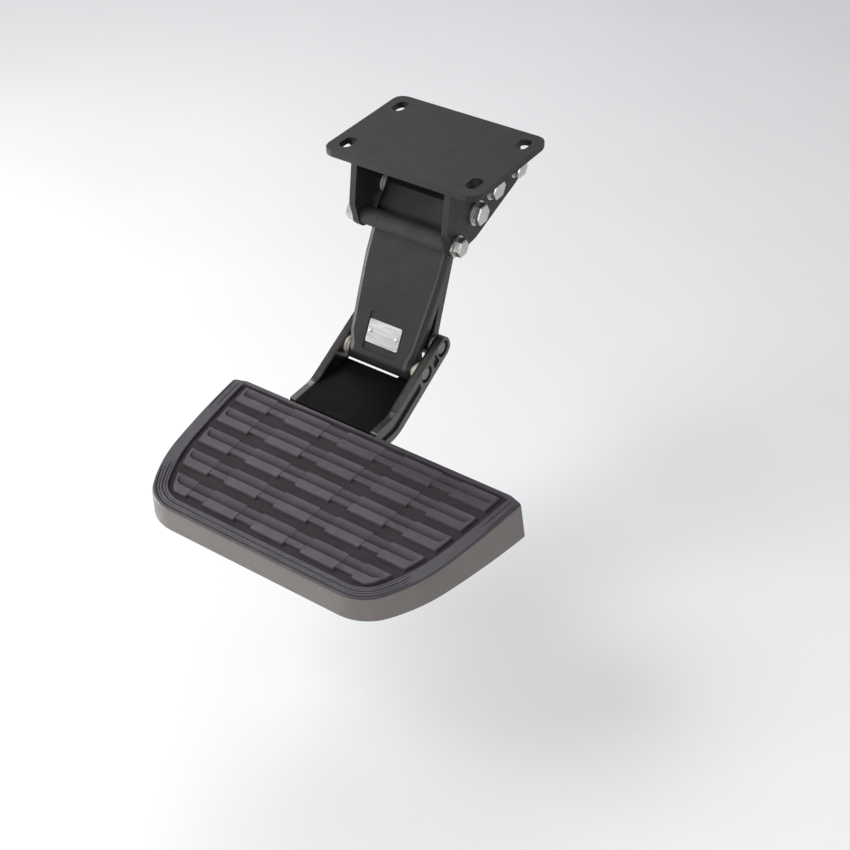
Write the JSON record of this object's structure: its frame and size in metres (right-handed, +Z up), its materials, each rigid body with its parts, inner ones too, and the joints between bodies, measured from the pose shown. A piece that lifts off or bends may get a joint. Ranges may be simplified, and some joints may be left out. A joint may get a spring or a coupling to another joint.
{
  "type": "tailgate step",
  "caption": "Fold-down corner step for a pickup's tailgate: tread pad on a U-shaped arm that two parallel links swing back under the bumper from a bolted bracket.",
  "frame": {"origin": "centre of the bracket's flat top face, which bolts up under the vehicle's frame", "axes": "+Z up, +Y towards the vehicle, +X along the tread pad; the step lies towards -Y and below"},
  "size_m": [0.3123, 0.3959, 0.2267],
  "materials": {
    "tread_plastic": "moulded glass-filled plastic, matt",
    "cast_black": "satin black coated casting",
    "link_black": "satin black coated casting",
    "bracket_black": "black coated steel plate",
    "zinc": "zinc plated",
    "pin_steel": "ground steel",
    "bush_white": "plain bearing plastic",
    "spring_steel": "dark spring steel",
    "rubber": "moulded rubber",
    "label_plate": "blank brushed plate"
  },
  "bodies": {
    "bracket": {"deployed_stop_bolt": "zinc", "deployed_stop_nut": "zinc", "deployed_stop_sleeve": "rubber", "deployed_stop_washer_left": "zinc", "deployed_stop_washer_right": "zinc", "mounting_bracket": "bracket_black", "spring_collar_left": "zinc", "spring_collar_right": "zinc", "stowed_stop_bolt": "zinc", "stowed_stop_nut": "zinc", "stowed_stop_sleeve": "rubber", "stowed_stop_washer_left": "zinc", "stowed_stop_washer_right": "zinc", "upper_front_bolt": "zinc", "upper_front_nut": "zinc", "upper_front_washer_left": "zinc", "upper_front_washer_right": "zinc", "upper_rear_bolt": "zinc", "upper_rear_nut": "zinc", "upper_rear_washer_left": "zinc", "upper_rear_washer_right": "zinc"},
    "front_link": {"front_link": "link_black", "label_plate": "label_plate", "label_rivet_left": "zinc", "label_rivet_right": "zinc", "lower_front_bush_left": "bush_white", "lower_front_bush_right": "bush_white", "upper_front_bush_left": "bush_white", "upper_front_bush_right": "bush_white"},
    "rear_link": {"lower_rear_bush_left": "bush_white", "lower_rear_bush_right": "bush_white", "rear_link": "link_black", "torsion_spring_left": "spring_steel", "torsion_spring_right": "spring_steel", "upper_rear_bush_left": "bush_white", "upper_rear_bush_right": "bush_white"},
    "step": {"lower_front_pin": "pin_steel", "lower_front_ring_left": "spring_steel", "lower_front_ring_right": "spring_steel", "lower_rear_pin": "pin_steel", "lower_rear_ring_left": "spring_steel", "lower_rear_ring_right": "spring_steel", "pad_screw_1": "zinc", "pad_screw_2": "zinc", "pad_screw_3": "zinc", "pad_screw_4": "zinc", "pad_screw_5": "zinc", "pad_screw_6": "zinc", "step_arm": "cast_black", "step_pad": "tread_plastic"}
  },
  "joints": [
    {"name": "front_link_swing", "type": "hinge", "parent": "bracket", "child": "front_link", "pos_m": [0, -0.014, -0.045], "axis": [1, 0, 0], "range_deg": [0, 97]},
    {"name": "rear_link_swing", "type": "hinge", "parent": "bracket", "child": "rear_link", "pos_m": [0, 0.0122, -0.0325], "axis": [1, 0, 0], "range_deg": [0, 97]},
    {"name": "step_level", "type": "hinge", "parent": "front_link", "child": "step", "pos_m": [0, -0.08442, -0.17744], "axis": [1, 0, 0], "range_deg": [-97, 0]}
  ],
  "couplings": [
    {"joint": "rear_link_swing", "follows": "front_link_swing", "ratio": 1},
    {"joint": "step_level", "follows": "front_link_swing", "ratio": -1}
  ]
}
